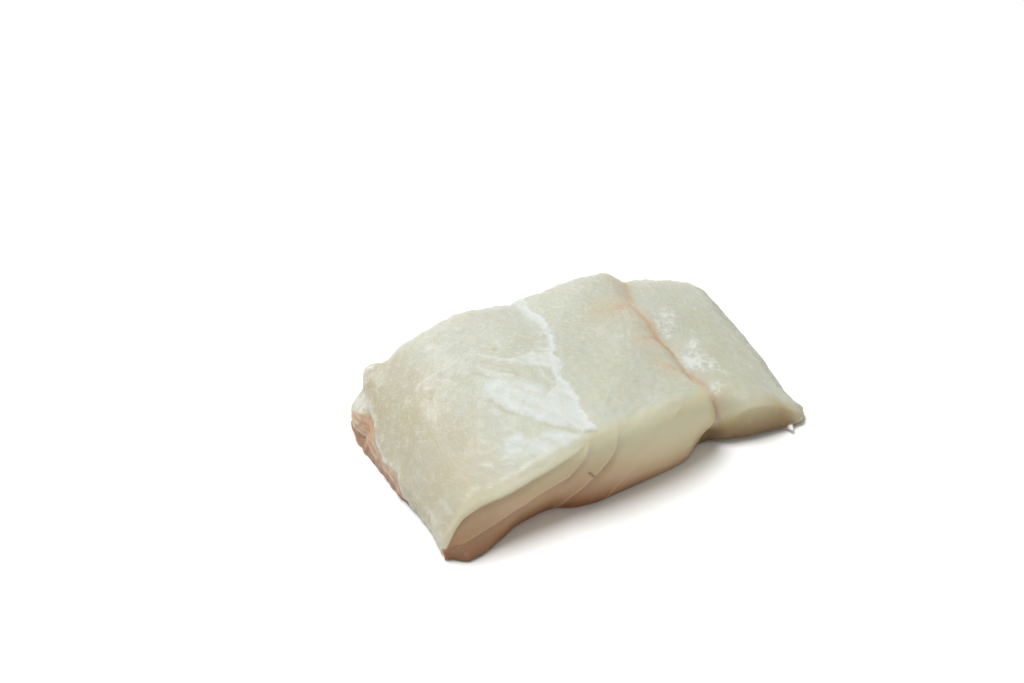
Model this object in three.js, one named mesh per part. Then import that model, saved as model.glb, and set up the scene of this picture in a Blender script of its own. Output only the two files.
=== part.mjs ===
// A portion of raw cod fillet, cut straight across the fish and lying flesh side up, skin side down.
// Sizes are in millimetres. x runs from the torn edge of the loin to the tip of the belly flap,
// y from the front cut to the rear cut, and z up from the flat underside.
import * as THREE from "three";
import { mergeVertices } from "three/addons/utils/BufferGeometryUtils.js";

const { clamp, lerp, smoothstep } = THREE.MathUtils;

// Nominal size of the portion, before its outline and heights are drawn in.
const LENGTH = 142;
const WIDTH = 73;
const THICKNESS = 30;

// Edge radii on the nominal block: soft flesh along the top, tighter edges along the skin and the loin end.
// The last is the share of the length in which the loin end's radius grows to that of the top.
const TOP_RADIUS = 6;
const BASE_RADIUS = 1.5;
const LOIN_RADIUS = 2.5;
const LOIN_RADIUS_REACH = 0.1;

// Outline from above. The cuts give [x, y], the front one at the skin and again at its upper rim.
// The two ends give [share of the width, x], the loin end at the skin and again above its torn ledge.
const FRONT_BASE = [
  [-6, 3], [0, 1], [5, -2.6], [10, -2.2], [18, 0.4], [27, 3.6], [38, 4.6], [48, 0.8],
  [56, -0.3], [80, 0.6], [90, 1.8], [99, 6.6], [101, 6.6], [105, 5.4], [110, 3.7], [117, 1.6],
  [124, 0.6], [131, -0.6], [138, 0],
];
const FRONT_RIM = [
  [-6, 4], [3, 1.8], [10, 1.3], [20, 0.2], [40, 0.2], [52, -0.6], [64, -1.2],
  [78, -0.6], [90, 0.8], [98, 2.8], [103, 4.6], [120, 1.5], [138, 0],
];
const RIM_SHARE = 0.8;
const REAR_CUT = [[-6, 70.5], [10, 72], [60, 73], [104, 73], [124, 71.5], [138, 70]];
const LOIN_BASE = [[0, -1.8], [0.2, -0.6], [0.45, -2.2], [0.62, -3.2], [0.78, -3.8], [0.9, -3.4], [1, -2.5]];
const LOIN_RIM = [
  [0, -1.8], [0.2, -0.8], [0.4, -2.2], [0.6, -2.4], [0.72, -1.2], [0.85, 0.6], [0.94, 2.4], [1, 3.4],
];
const LOIN_LEDGE = [0.05, 0.6];
const FLAP_END = [[0, 137.4], [0.12, 136.4], [0.4, 137.4], [0.75, 138], [0.92, 137.5], [1, 135.5]];

// Height of the flesh as [x, z] along the front cut, along the middle and along the rear cut.
// It climbs from the thin loin edge to the thick of the loin, then steps down at the seam to the flap.
const FRONT_HEIGHT = [
  [-4, 4], [-1, 9.5], [1.5, 15], [5, 20.5], [10, 23], [18, 24.5], [31, 26.8], [42, 29.5],
  [52, 32], [72, 32.2], [86, 31], [93, 28.8], [98, 27], [101, 24], [103, 19.5], [105, 17], [114, 17],
  [120, 16], [127, 11.5], [134, 6], [138, 4.5],
];
const MIDDLE_HEIGHT = [
  [-6, 5], [0, 13], [5, 19.5], [12, 24.5], [30, 30], [50, 33], [80, 32.5],
  [95, 29], [104, 23], [113, 19.5], [126, 13.5], [138, 5],
];
const REAR_HEIGHT = [
  [-4, 17], [3, 26.3], [10, 28.6], [17, 31.5], [40, 36.3], [52, 34.4], [61, 31.6], [66, 32],
  [84, 31.2], [97, 29.8], [106, 22.5], [118, 17.5], [130, 11.5], [138, 5],
];

// Dips in the top as x, y, depth and reach: the notch between loin and flap on the front cut, the nick
// beside the rear corner of the loin, the end of the seam on the rear cut and the rise beside the streak.
const DIPS = [
  [105.5, 1.5, 8.5, 5.5],
  [11.6, 73.5, 4.4, 3.2],
  [104, 74, 2.5, 3.5],
  [63.4, 74, -0.8, 1.5],
];

// The seam where loin and flap part: its line as [y, x], its usual place, how far beside it the heights
// follow it, and its groove.
const SEAM_LINE = [
  [0, 104.5], [5, 104.8], [8, 104], [11, 102.4], [15, 101], [20, 100.6], [27.5, 101], [32, 101.4],
  [37, 100], [41, 99.4], [45, 100.4], [51, 100.4], [57, 99.8], [67, 103.9], [73, 104.8],
];
const SEAM_X = 104;
const SEAM_REACH = 14;
const SEAM_DEPTH = 0.7;
const SEAM_HALF_WIDTH = 1.6;

// The streak of connective tissue that lies across the top of the loin, as [y, x].
const STREAK_LINE = [
  [0, 54], [9.8, 54.3], [16, 56], [20, 57.2], [26, 57], [31, 57.6], [38, 59.4], [44.6, 60],
  [48, 62.8], [54.7, 63.4], [61, 62.4], [67, 64], [73, 64.8],
];
const STREAK_STAND = 0.3;
const STREAK_HALF_WIDTH = 1.8;

// Lower edges of the flakes on a cut face as [x, z], from the top one down. Each overlaps the next.
// The first is the crease under the smooth roll that the top turns into.
const FLAKE_EDGES = [
  [
    [-1, 5], [0.2, 8.5], [2.6, 13.9], [5.9, 18], [10.8, 19.9], [17.1, 21.2], [24.6, 22.3], [29.7, 23.5],
    [37.7, 25.2], [45.6, 27.6], [51, 30.8], [55, 36],
  ],
  [
    [-2, 4.5], [0.1, 5.8], [4.7, 8.6], [9.8, 10.1], [15.7, 11.2], [21.7, 12.6], [27, 13.8], [32.7, 16.3],
    [37.9, 17.6], [42.6, 18.8], [45.4, 22], [49.2, 26.6], [54, 36],
  ],
  [
    [36, -2], [40, 0.5], [42.1, 2.6], [45.7, 8.6], [51.9, 15.4], [55.2, 18.8], [58.4, 22.7], [60.2, 27],
    [64, 36],
  ],
  [
    [54, -3], [58.7, 1.7], [61.2, 5.6], [65, 9.6], [69.3, 13], [73, 17], [75.4, 21.4], [78.2, 26.4],
    [82.3, 29.4], [90, 36],
  ],
];
const TOP_FLAKE_HEIGHT = 18;
const FLAKE_DEPTH = 0.9;
const FLAKE_SINK = 0.5;
const FLAKE_EDGE_WIDTH = 0.8;
const FLAKES_FADE_IN = [-2, 8];
const REAR_FLAKE_SHIFT = 6;

// How far the two cut faces swell between the skin and the top.
const CUT_BULGE = 1.2;

// Slow swells of the top: height, wavelength along x, wavelength along y and phase.
const SWELLS = [
  [0.35, 61, 90, 0.4],
  [0.3, -47, 38, 1.1],
  [0.22, 29, -33, 2],
  [0.18, 23, 41, 4.1],
];

// Ragged flesh on the loin end: depth, wavelength along y, wavelength up z and phase.
const TEARS = [
  [0.3, 23, 15, 0.3],
  [0.25, -14, 21, 2.2],
];

// The lobe of flesh on the loin end: its middle as y and z, its reach along them, how far it stands out,
// and the shares of its reach where it is full and where it has died away.
const LOBE_Y = 66;
const LOBE_Z = 10;
const LOBE_REACH_Y = 6;
const LOBE_REACH_Z = 5.5;
const LOBE_STAND = 3.6;
const LOBE_FULL = 0.4;
const LOBE_END = 1.2;

// Grid cells along, across and up the block.
const CELLS_ALONG = 60;
const CELLS_ACROSS = 32;
const CELLS_UP = 10;

const FLESH_COLOUR = 0xd3d0bc;
const FLESH_ROUGHNESS = 0.35;

// Smooth line through a few stations that never overshoots them (monotone cubic).
function profile(stations, t) {
  const last = stations.length - 2;
  let i = 0;
  while (i < last && t > stations[i + 1][0]) i += 1;
  const slope = (k) => (stations[k + 1][1] - stations[k][1]) / (stations[k + 1][0] - stations[k][0]);
  const tangent = (k) => {
    if (k === 0) return slope(0);
    if (k > last) return slope(last);
    const before = slope(k - 1);
    const after = slope(k);
    return before * after > 0 ? (2 * before * after) / (before + after) : 0;
  };
  const [t0, value0] = stations[i];
  const [t1, value1] = stations[i + 1];
  const span = t1 - t0;
  const a = clamp((t - t0) / span, 0, 1);
  const b = 1 - a;
  const ends = (1 + 2 * a) * b * b * value0 + a * a * (3 - 2 * a) * value1;
  return ends + a * b * span * (b * tangent(i) - a * tangent(i + 1));
}

const seamX = (y) => profile(SEAM_LINE, y);

const streakX = (y) => profile(STREAK_LINE, y);

const groove = (distance, halfWidth) => Math.exp(-((distance / halfWidth) ** 2));

const ripple = (rows, a, b) =>
  rows.reduce(
    (sum, [height, waveA, waveB, phase]) =>
      sum + height * Math.sin(2 * Math.PI * (a / waveA + b / waveB) + phase),
    0,
  );

// Rise of a line through stations for each millimetre of x.
const slopeOf = (stations, x) => profile(stations, x + 0.5) - profile(stations, x - 0.5);

// Stand of the flakes on a cut face: each swells towards its lower edge, then drops back to the next.
function flakeStand(x, z) {
  let upper = profile(FLAKE_EDGES[0], x) + TOP_FLAKE_HEIGHT;
  let stand = 0;
  for (const stations of FLAKE_EDGES) {
    const edge = profile(stations, x);
    const below = (edge - z) / Math.hypot(1, slopeOf(stations, x));
    const along = clamp((upper - z) / Math.max(upper - edge, FLAKE_EDGE_WIDTH), 0, 1);
    const past = smoothstep(below, -FLAKE_EDGE_WIDTH, FLAKE_EDGE_WIDTH);
    stand += FLAKE_DEPTH * along * along * (1 - past);
    upper = edge;
  }
  return stand * smoothstep(x, ...FLAKES_FADE_IN) - FLAKE_SINK;
}

// A point on the nominal block with rounded edges, as shares of its length, width and thickness,
// and the way that the surface faces there.
function roundedBlock(corner) {
  const half = new THREE.Vector3(LENGTH / 2, WIDTH / 2, THICKNESS / 2);
  const along = corner.x / LENGTH + 0.5;
  const up = corner.z / THICKNESS + 0.5;
  const topRadius = lerp(LOIN_RADIUS, TOP_RADIUS, smoothstep(along, 0, LOIN_RADIUS_REACH));
  const radius = lerp(BASE_RADIUS, topRadius, up);
  const core = half.clone().subScalar(radius);
  const inner = corner.clone().clamp(core.clone().negate(), core);
  const facing = corner.clone().sub(inner).normalize();
  const point = inner.addScaledVector(facing, radius);
  return { shares: point.divide(half).addScalar(1).multiplyScalar(0.5), facing };
}

const dipAt = (x, y) =>
  DIPS.reduce(
    (sum, [dipX, dipY, depth, reach]) => sum + depth * groove(Math.hypot(x - dipX, y - dipY), reach),
    0,
  );

// Height of the flesh over a place, on the parabola through the front, middle and rear heights there.
function heightAt(x, y, across) {
  const nearSeam = groove(x - SEAM_X, SEAM_REACH);
  const station = x - (seamX(y) - SEAM_X) * nearSeam;
  const front = profile(FRONT_HEIGHT, station) * (1 - across) * (1 - 2 * across);
  const middle = profile(MIDDLE_HEIGHT, station) * 4 * across * (1 - across);
  const rear = profile(REAR_HEIGHT, station) * across * (2 * across - 1);
  return front + middle + rear - dipAt(x, y);
}

function lobeAt(y, z) {
  const away = Math.hypot((y - LOBE_Y) / LOBE_REACH_Y, (z - LOBE_Z) / LOBE_REACH_Z);
  return LOBE_STAND * (1 - smoothstep(away, LOBE_FULL, LOBE_END));
}

// Relief that stands out of the smooth form: swells and grooves on top, flakes and bulge on the cuts,
// and ragged flesh with its lobe on the loin end.
function reliefAt(x, y, z, up, facing) {
  const seam = SEAM_DEPTH * groove(x - seamX(y), SEAM_HALF_WIDTH);
  const streak = STREAK_STAND * groove(x - streakX(y), STREAK_HALF_WIDTH);
  const top = clamp(facing.z, 0, 1) * (ripple(SWELLS, x, y) + streak - seam);
  const loinEnd = clamp(-facing.x, 0, 1) * (ripple(TEARS, y, z) + lobeAt(y, z));
  const front = clamp(-facing.y, 0, 1);
  const rear = clamp(facing.y, 0, 1);
  const bulge = CUT_BULGE * Math.sin(Math.PI * up);
  const frontCut = front * bulge + front ** 2 * flakeStand(x, z);
  const rearCut = rear * bulge + rear ** 2 * flakeStand(x + REAR_FLAKE_SHIFT, z);
  return top + loinEnd + frontCut + rearCut;
}

function filletPoint(corner) {
  const { shares, facing } = roundedBlock(corner);
  const loinBase = profile(LOIN_BASE, shares.y);
  const loinRim = profile(LOIN_RIM, shares.y);
  const loinX = lerp(loinBase, loinRim, smoothstep(shares.z, ...LOIN_LEDGE));
  const x = lerp(loinX, profile(FLAP_END, shares.y), shares.x);
  const front = lerp(profile(FRONT_BASE, x), profile(FRONT_RIM, x), smoothstep(shares.z, 0, RIM_SHARE));
  const y = lerp(front, profile(REAR_CUT, x), shares.y);
  const z = heightAt(x, y, shares.y) * shares.z;
  const relief = reliefAt(x, y, z, shares.z, facing);
  const outward = facing.clone();
  outward.z = Math.max(outward.z, 0);
  return new THREE.Vector3(x, y, z).addScaledVector(outward, relief);
}

// The block's closed grid, each corner moved to its place on the fillet.
function filletGeometry() {
  const block = new THREE.BoxGeometry(LENGTH, WIDTH, THICKNESS, CELLS_ALONG, CELLS_ACROSS, CELLS_UP);
  block.deleteAttribute("normal");
  block.deleteAttribute("uv");
  const geometry = mergeVertices(block);
  const position = geometry.getAttribute("position");
  const corner = new THREE.Vector3();
  for (let i = 0; i < position.count; i += 1) {
    corner.fromBufferAttribute(position, i);
    position.setXYZ(i, ...filletPoint(corner));
  }
  geometry.computeBoundingBox();
  const middle = geometry.boundingBox.getCenter(new THREE.Vector3());
  geometry.translate(-middle.x, -middle.y, -geometry.boundingBox.min.z);
  geometry.computeVertexNormals();
  return geometry;
}

const flesh = new THREE.MeshStandardMaterial({
  color: FLESH_COLOUR,
  roughness: FLESH_ROUGHNESS,
  metalness: 0,
});

const fillet = new THREE.Mesh(filletGeometry(), flesh);
fillet.name = "cod_fillet";

const part = new THREE.Group();
part.add(fillet);

export default part;
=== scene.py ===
"""Looks of a portion of raw cod fillet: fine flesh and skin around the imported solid, on a pale floor."""
import math
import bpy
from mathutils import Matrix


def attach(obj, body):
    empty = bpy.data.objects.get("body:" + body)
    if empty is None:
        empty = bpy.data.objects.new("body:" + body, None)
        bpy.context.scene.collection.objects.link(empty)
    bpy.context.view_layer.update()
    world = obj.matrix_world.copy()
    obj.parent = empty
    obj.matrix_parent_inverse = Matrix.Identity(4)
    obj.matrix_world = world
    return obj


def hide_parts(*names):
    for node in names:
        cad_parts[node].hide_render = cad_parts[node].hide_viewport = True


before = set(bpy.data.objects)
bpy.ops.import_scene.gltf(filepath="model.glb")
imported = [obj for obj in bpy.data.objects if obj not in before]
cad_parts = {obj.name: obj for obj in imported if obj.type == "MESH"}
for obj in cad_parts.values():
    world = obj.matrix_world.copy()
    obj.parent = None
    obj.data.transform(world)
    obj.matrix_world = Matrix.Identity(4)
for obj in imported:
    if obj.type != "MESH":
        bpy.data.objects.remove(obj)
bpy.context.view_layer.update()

from types import SimpleNamespace

import bpy
import numpy as np
from mathutils import Vector

NODE = "cod_fillet"
MM = 0.001

# The form, in millimetres: x from the loin's end to the tip of the flap, y from the front cut to the rear
# cut, z up. Outline, heights, dips and swells are the solid's own values. Flakes, seam and the lobe on the
# loin's end follow the solid with finer edges. The other relief is finer than the solid's, or only here.
LENGTH = 142
WIDTH = 73
THICKNESS = 30
TOP_RADIUS = 6
BASE_RADIUS = 1.5
LOIN_RADIUS = 2.5
LOIN_RADIUS_REACH = 0.1
LOIN_BASE_RADIUS = 0.4
LOIN_BASE_REACH = 0.04

# Outline from above: cuts as (x, y), ends as (share of the width, x). The front cut and the loin's end have a
# base and a rim, with how far up one has gone over into the other.
FRONT_BASE = [
    (-6, 3), (0, 1), (5, -2.6), (10, -2.2), (18, 0.4), (27, 3.6), (38, 4.6), (48, 0.8), (56, -0.3), (80, 0.6),
    (90, 1.8), (99, 6.6), (101, 6.6), (105, 5.4), (110, 3.7), (117, 1.6), (124, 0.6), (131, -0.6), (138, 0),
]
FRONT_RIM = [
    (-6, 4), (3, 1.8), (10, 1.3), (20, 0.2), (40, 0.2), (52, -0.6), (64, -1.2), (78, -0.6), (90, 0.8),
    (98, 2.8), (103, 4.6), (120, 1.5), (138, 0),
]
RIM_SHARE = 0.8
REAR_CUT = [(-6, 70.5), (10, 72), (60, 73), (104, 73), (124, 71.5), (138, 70)]
LOIN_BASE = [(0, -1.8), (0.2, -0.6), (0.45, -2.2), (0.62, -3.2), (0.78, -3.8), (0.9, -3.4), (1, -2.5)]
LOIN_RIM = [
    (0, -1.8), (0.2, -0.8), (0.4, -2.2), (0.6, -2.4), (0.72, -1.2), (0.85, 0.6), (0.94, 2.4), (1, 3.4),
]
LOIN_LEDGE = (0.05, 0.6)
FLAP_END = [(0, 137.4), (0.12, 136.4), (0.4, 137.4), (0.75, 138), (0.92, 137.5), (1, 135.5)]

# Heights as (x, z), dips as x, y, depth and reach, and swells as height, two wavelengths and phase.
FRONT_HEIGHT = [
    (-4, 4), (-1, 9.5), (1.5, 15), (5, 20.5), (10, 23), (18, 24.5), (31, 26.8), (42, 29.5), (52, 32),
    (72, 32.2), (86, 31), (93, 28.8), (98, 27), (101, 24), (103, 19.5), (105, 17), (114, 17), (120, 16),
    (127, 11.5), (134, 6), (138, 4.5),
]
MIDDLE_HEIGHT = [
    (-6, 5), (0, 13), (5, 19.5), (12, 24.5), (30, 30), (50, 33), (80, 32.5), (95, 29), (104, 23), (113, 19.5),
    (126, 13.5), (138, 5),
]
REAR_HEIGHT = [
    (-4, 17), (3, 26.3), (10, 28.6), (17, 31.5), (40, 36.3), (52, 34.4), (61, 31.6), (66, 32), (84, 31.2),
    (97, 29.8), (106, 22.5), (118, 17.5), (130, 11.5), (138, 5),
]
DIPS = [(105.5, 1.5, 8.5, 5.5), (11.6, 73.5, 4.4, 3.2), (104, 74, 2.5, 3.5), (63.4, 74, -0.8, 1.5)]
SWELLS = [(0.35, 61, 90, 0.4), (0.3, -47, 38, 1.1), (0.22, 29, -33, 2), (0.18, 23, 41, 4.1)]

# The seam between loin and flap as (y, x), its usual x, how far beside it the heights follow it, its groove.
SEAM_LINE = [
    (0, 104.5), (5, 104.8), (8, 104), (11, 102.4), (15, 101), (20, 100.6), (27.5, 101), (32, 101.4),
    (37, 100), (41, 99.4), (45, 100.4), (51, 100.4), (57, 99.8), (67, 103.9), (73, 104.8),
]
SEAM_X = 104
SEAM_REACH = 14
SEAM_DEPTH = 0.4
SEAM_HALF_WIDTH = 1.4

# How far the flap's front edge stands off the ground, as (x, lift), and how deep that reaches.
FLAP_LIFT = [(98, 0), (104, 1), (112, 1.3), (128, 1), (138, 0.8)]
FLAP_LIFT_REACH = 12

# The flesh stays this far above the ground, but for a strip along the loin's end. The skin lies under it, set
# in from the outline's base, with edges that bulge.
FLESH_BASE = 0.4
FLESH_BASE_FADE = (0.3, 1.5)
SKIN_THICKNESS = 0.8
SKIN_INSET = 0.9
SKIN_LOIN_INSET = 1.8
SKIN_FRONT_INSET = [(-4, 0.5), (2, 0.3), (20, 0.3), (26, 0.9), (138, 0.9)]
SKIN_BULGE = 0.15

# Lower edges of the flakes on a cut as (x, z), from the top one down, how far each stands over the next, and
# the pale lip, a painted highlight along each edge, and the tone of each. The tone below the last edge comes
# last.
FLAKE_EDGES = [
    [(-1, 5), (0.2, 8.5), (2.6, 13.9), (5.9, 18), (10.8, 19.9), (17.1, 21.2), (24.6, 22.3), (29.7, 23.5),
     (37.7, 25.2), (45.6, 27.6), (51, 30.8), (55, 36)],
    [(-2, 4.5), (0.1, 5.8), (4.7, 8.6), (9.8, 10.1), (15.7, 11.2), (21.7, 12.6), (27, 13.8), (32.7, 16.3),
     (37.9, 17.6), (42.6, 18.8), (45.4, 22), (49.2, 26.6), (54, 36)],
    [(36, -2), (40, 0.5), (42.1, 2.6), (45.7, 8.6), (51.9, 15.4), (55.2, 18.8), (58.4, 22.7), (60.2, 27),
     (64, 36)],
    [(54, -3), (58.7, 1.7), (61.2, 5.6), (65, 9.6), (69.3, 13), (73, 16), (75.5, 19.4), (77.5, 23.5),
     (81, 26.6), (85, 28.3), (92, 30), (100, 34)],
]
TOP_FLAKE_HEIGHT = 18
FLAKE_DEPTH = 0.42
FLAKE_SINK = 0.25
FLAKE_EDGE = 0.4
FLAKE_LIP_HIGHLIGHTS = (0, 0.25, 0.8, 1)
FLAKE_TONES = (0, 1.5, 0.2, -0.6, 0.3)
LAST_FLAKE_WITHIN = 0.5
LIP_OVER_EDGE = 0.5
LIP_HALF_WIDTH = 0.4
LIP_FADE = (30, 23)
FLAKES_FADE_IN = (-2, 8)
REAR_FLAKE_SHIFT = 6
CUT_BULGE = 1.2

# Marks. Strokes are lines of (x, y, half width) on the top; outlines and lines are of (x, y) there, (x, z) on
# the front cut and (y, z) on the loin's end. The white film lies across the loin, with sheer film beside it.
FILM_RIM = [
    (65.2, 74), (64.5, 67.4), (64, 62.4), (64.6, 59.2), (65.4, 54.7), (64, 50.7), (62, 44.9), (60.2, 40.6),
    (60.2, 37.5), (59.9, 34.6), (57.1, 31.5), (56.8, 29.1), (56.4, 25.3), (57.4, 22.1), (57.7, 18.9),
    (56.1, 15.3), (55.1, 11.3), (54.4, 7), (54.8, 3.7),
]
FILM_BAND = FILM_RIM[:7] + [
    (61, 44.6), (62.4, 48.9), (62.8, 52.8), (62.3, 56), (60.4, 59.2), (59.9, 63.3), (59.6, 67.3), (60.2, 74),
]
FILM_BODY = FILM_RIM[7:] + [
    (51.7, 5.1), (48.8, 9.3), (47.1, 14.5), (46.8, 19.6), (47.6, 24.6), (51, 26.5), (54, 26.5), (55.3, 30.7),
    (55.3, 34.7), (51.9, 36.6), (48.5, 39.1), (44.4, 42.9), (45.3, 44.2), (53, 44), (56.1, 41.7),
]
FILM_STROKES = [
    [(64.4, 51.5, 0.3), (63.2, 47.5, 0.5), (61.6, 44, 0.6), (60.4, 41, 0.7)],
    [(60, 51.9, 0.6), (62.4, 50.1, 0.7)],
    [(57.7, 47.8, 0.5), (60.6, 46.7, 0.8)],
    [(56.4, 43.8, 0.6), (59.3, 41.6, 0.8)],
    [(52.4, 36.2, 0.4), (51.5, 33.2, 0.6), (52.2, 29.8, 0.6), (54.2, 27, 0.5)],
    [(45.6, 51.3, 0.8), (44.9, 53.3, 0.5)],
    [(2.5, 69.6, 1), (4, 69.2, 1.2), (6.5, 69.5, 0.7)],
]
FILM_THREADS = [
    [(33.2, 54, 0.2), (37.1, 51.1, 0.35), (39.7, 48.1, 0.4), (43, 45.3, 0.5), (46.1, 43.4, 0.7)],
    [(13.2, 51.8, 0.2), (15.5, 52.8, 0.3), (19.1, 52.9, 0.4), (22.4, 52.9, 0.35), (26, 52.1, 0.25),
     (29.3, 52.9, 0.3), (31.4, 53.9, 0.2)],
    [(33.8, 48.3, 0.2), (36.2, 44.1, 0.3), (39.1, 39.9, 0.3), (43, 36.9, 0.2)],
    [(38, 46, 0.2), (41.3, 41.2, 0.3), (44.6, 37.4, 0.2)],
    [(89, 40.4, 0.25), (86.9, 36, 0.3)],
    [(87.2, 19.9, 0.2), (90.2, 20.4, 0.3)],
    [(2.5, 13, 0.3), (2.5, 8, 0.5), (3, 4.2, 0.3)],
]
SHEER_OUTLINES = [
    [(34, 41.2), (39.4, 39.3), (45, 35), (48, 29.6), (49.3, 23.6), (48, 14.6), (51.7, 5.1), (47.6, 9.6),
     (41.8, 16.7), (36.8, 24.5), (33.3, 30.8), (31.9, 35.9)],
    [(30.1, 9.8), (35.3, 11.9), (41, 11.9), (45.6, 9.6), (51.5, 3.4), (45.9, 3.2), (39.6, 4.6), (34.8, 5.8),
     (31, 7.6)],
    [(28.2, 17.7), (35.1, 18.8), (35.3, 11.9), (30.1, 9.8), (25.7, 11.3)],
]
FILM_RIM_WIDTH = 2.2
FILM_EDGE = (-0.3, 0.6)
FILM_STAND = 0.2
FILM_FOLDS = 0.2
SHEER_EDGE = (-1, 2)
SHEER_STAND = 0.06
SHEER_FOLDS = 0.12
THREAD_EDGE = (-0.4, 0.2)
THREAD_STAND = 0.12

# Fine folds of the film: the way across them, and the share that counts along them, which makes them long.
FOLD_WAY = (0.835, 0.55)
FOLD_STRETCH = 0.2

# Olive creases beside the film, with a spot, and fold lines in the film darkened as painted shade.
OLIVE_LINE = [(32, 33.5), (34.5, 27.1), (38.9, 21), (42.1, 15.8), (45.6, 10.9), (48.8, 5.8), (54.6, 3)]
OLIVE_LINE_WIDTH = 0.7
OLIVE_SPOT = (42.8, 50.2)
OLIVE_SPOT_WIDTH = 1
OLIVE_FOLD_SHADES = [
    [(36.7, 48.2), (40.2, 43.2), (42.4, 39.3), (44.6, 36.6)],
    [(32, 46), (36, 41), (40, 37.6), (44, 34)],
]
OLIVE_FOLD_SHADE_WIDTH = 0.45
OLIVE_FOLD_SHADE_SHARE = 0.6
OLIVE_DEPTH = 0.08

# White fat on the flap beside the seam.
FAT_OUTLINES = [
    [(104.1, 47), (107.7, 51.3), (113.8, 54.5), (114.7, 50.4), (110.5, 44.1), (105, 38.2), (102.2, 41)],
    [(102.8, 29.6), (107.8, 31.2), (113.3, 38.1), (113.3, 34.5), (112, 27.9), (113.8, 22.5), (115.3, 17.6),
     (109.9, 20.4), (106.5, 20.9), (103.8, 24.1), (102.1, 26.1)],
    [(104.4, 12.4), (106.4, 14.3), (110.4, 15.5), (111.3, 12.5), (106.7, 10.7)],
]
FAT_CORE = [(103.4, 28.8, 0.6), (105, 27.4, 1.5), (106.6, 25, 1.5), (108, 22.6, 0.5)]
FAT_EDGE = (-0.6, 0.8)

# The stain along the seam, with its reddest stretch and the glow around it.
SEAM_STROKES = [
    [(104.8, 73, 0.4), (102.9, 65.1, 0.6), (101.2, 60, 0.7), (98.9, 55.1, 0.9), (99.7, 49.6, 1.1),
     (100.3, 44.6, 1.1), (100, 40.9, 1.2), (99.3, 37, 1.2), (99.6, 33.5, 1.2), (101, 30.5, 0.5),
     (101.3, 27, 0.3), (101.1, 23.5, 0.6), (101.6, 20.5, 1), (102.8, 18, 0.8), (104, 15.5, 0.5),
     (104.5, 13, 0.4), (104.9, 10.5, 0.5), (104.7, 8.5, 0.7), (104.1, 6.5, 0.7), (103.4, 5, 0.6),
     (102.8, 3.6, 0.3)],
    [(84.8, 52.2, 0.1), (88.6, 52.3, 0.2), (92.7, 52.5, 0.35), (98.8, 55, 0.7)],
    [(92.8, 22.4, 0.1), (94, 20.8, 0.2), (96, 18.4, 0.6), (99, 18.6, 0.9), (101.4, 20, 1)],
]
SEAM_RED = [(92.1, 34.6, 0.3), (95.9, 36.9, 0.6), (98.6, 38, 1.2), (99.4, 34.5, 1.2), (100.7, 31, 0.5)]
SEAM_FOOT = (3, 9)
SEAM_GLOW = (-9, 0)
SEAM_GLOW_SIDE = (5, 0)

# The nose of the loin has the tones of the cut within an outline from above. It steps over the flap at a
# junction of (z, x) on the front cut.
NOSE = [
    (74, -5), (76.9, -1.2), (80, 0.4), (84.4, 1.4), (90.2, 3.3), (95.1, 5), (98.6, 6.3), (101.5, 8),
    (103.6, 7.5), (104.2, 5), (103.4, 3.4), (102.4, -5),
]
NOSE_EDGE = (-0.5, 0.5)
NOSE_FOOT = (2, 6)
NOSE_SIDE = (0.7, -0.7)
JUNCTION = [(0, 98), (4, 98.6), (8, 99.6), (11.2, 101.4), (14.5, 103), (18, 104)]
JUNCTION_STEP = 1.8
JUNCTION_EDGE = (-0.8, 0.8)
JUNCTION_END = (108, 103)
JUNCTION_FOOT = (0, 6)
# Painted shade: the cut's tone is lowered along the junction, in the crease between the nose and the flap.
JUNCTION_PAINTED_SHADE = 3
JUNCTION_PAINTED_SHADE_WIDTH = 1.5
JUNCTION_PAINTED_SHADE_FOOT = (12, 5)

# Tone of the cuts: how fast it rises with the height, as (x, share), its lift towards the nose, and how far a
# place has to face the front to show it, which is further in the middle.
CUT_RISE = [
    (0, 0.44), (10, 0.44), (22, 0.52), (40, 0.6), (46, 0.5), (56, 0.68), (66, 0.98), (84, 1.38), (98, 1.38),
    (104, 1), (138, 0.6),
]
CUT_RISE_LIFT = 2.4
CUT_RISE_LIFT_X = (68, 84)
CUT_TURN = 0.2
CUT_TURN_SPAN = (-0.1, 0.43)
MIDDLE_TURN = 0.35
MIDDLE_FROM = (52, 62)
MIDDLE_TO = (97, 88)
SHOULDER_X = (84, 72)
SHOULDER_Z = (18, 31)
REAR_RIM_PALE = (0.95, 0.8)

# The pale roll between top and front cut: on the left down to the first flake's edge, then along the edge. It
# is painted light, paler the more a place faces the front.
ROLL_EDGE = (-0.5, 0.5)
ROLL_END = (47, 54)
ROLL_LIGHT_FACING = (0.1, 0.9)
ROLL_EDGE_LIGHT_FACING = (0, 0.5)
ROLL_TO = (104, 96)
ROLL_FAINT = 0.5
ROLL_FAINT_X = (72, 82)

# The flap's front, below an arc of (x, z), and the tan beside the nose.
FLAP_ARC = [
    (98, 4), (101, 6.2), (104, 8.8), (108.3, 11.3), (112.2, 13.9), (118.2, 15.2), (122.1, 14.5),
    (127.4, 10.8), (133, 6.1), (137, 3.9),
]
FLAP_ARC_EDGE = (-1.6, 1.4)
FLAP_SIDE = (-0.5, 0.7)
FLAP_FACING = (0.1, 0.3)
FLAP_TO = (137, 131)
FLAP_FRONT = 15.5
FLAP_TIP_RISE = 0.5
FLAP_TIP_RISE_X = (126, 135)
FLAP_TAN_Y = (26, 6)
FLAP_TAN_FROM = (100, 103)
FLAP_TAN_TO = (120, 105)

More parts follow.
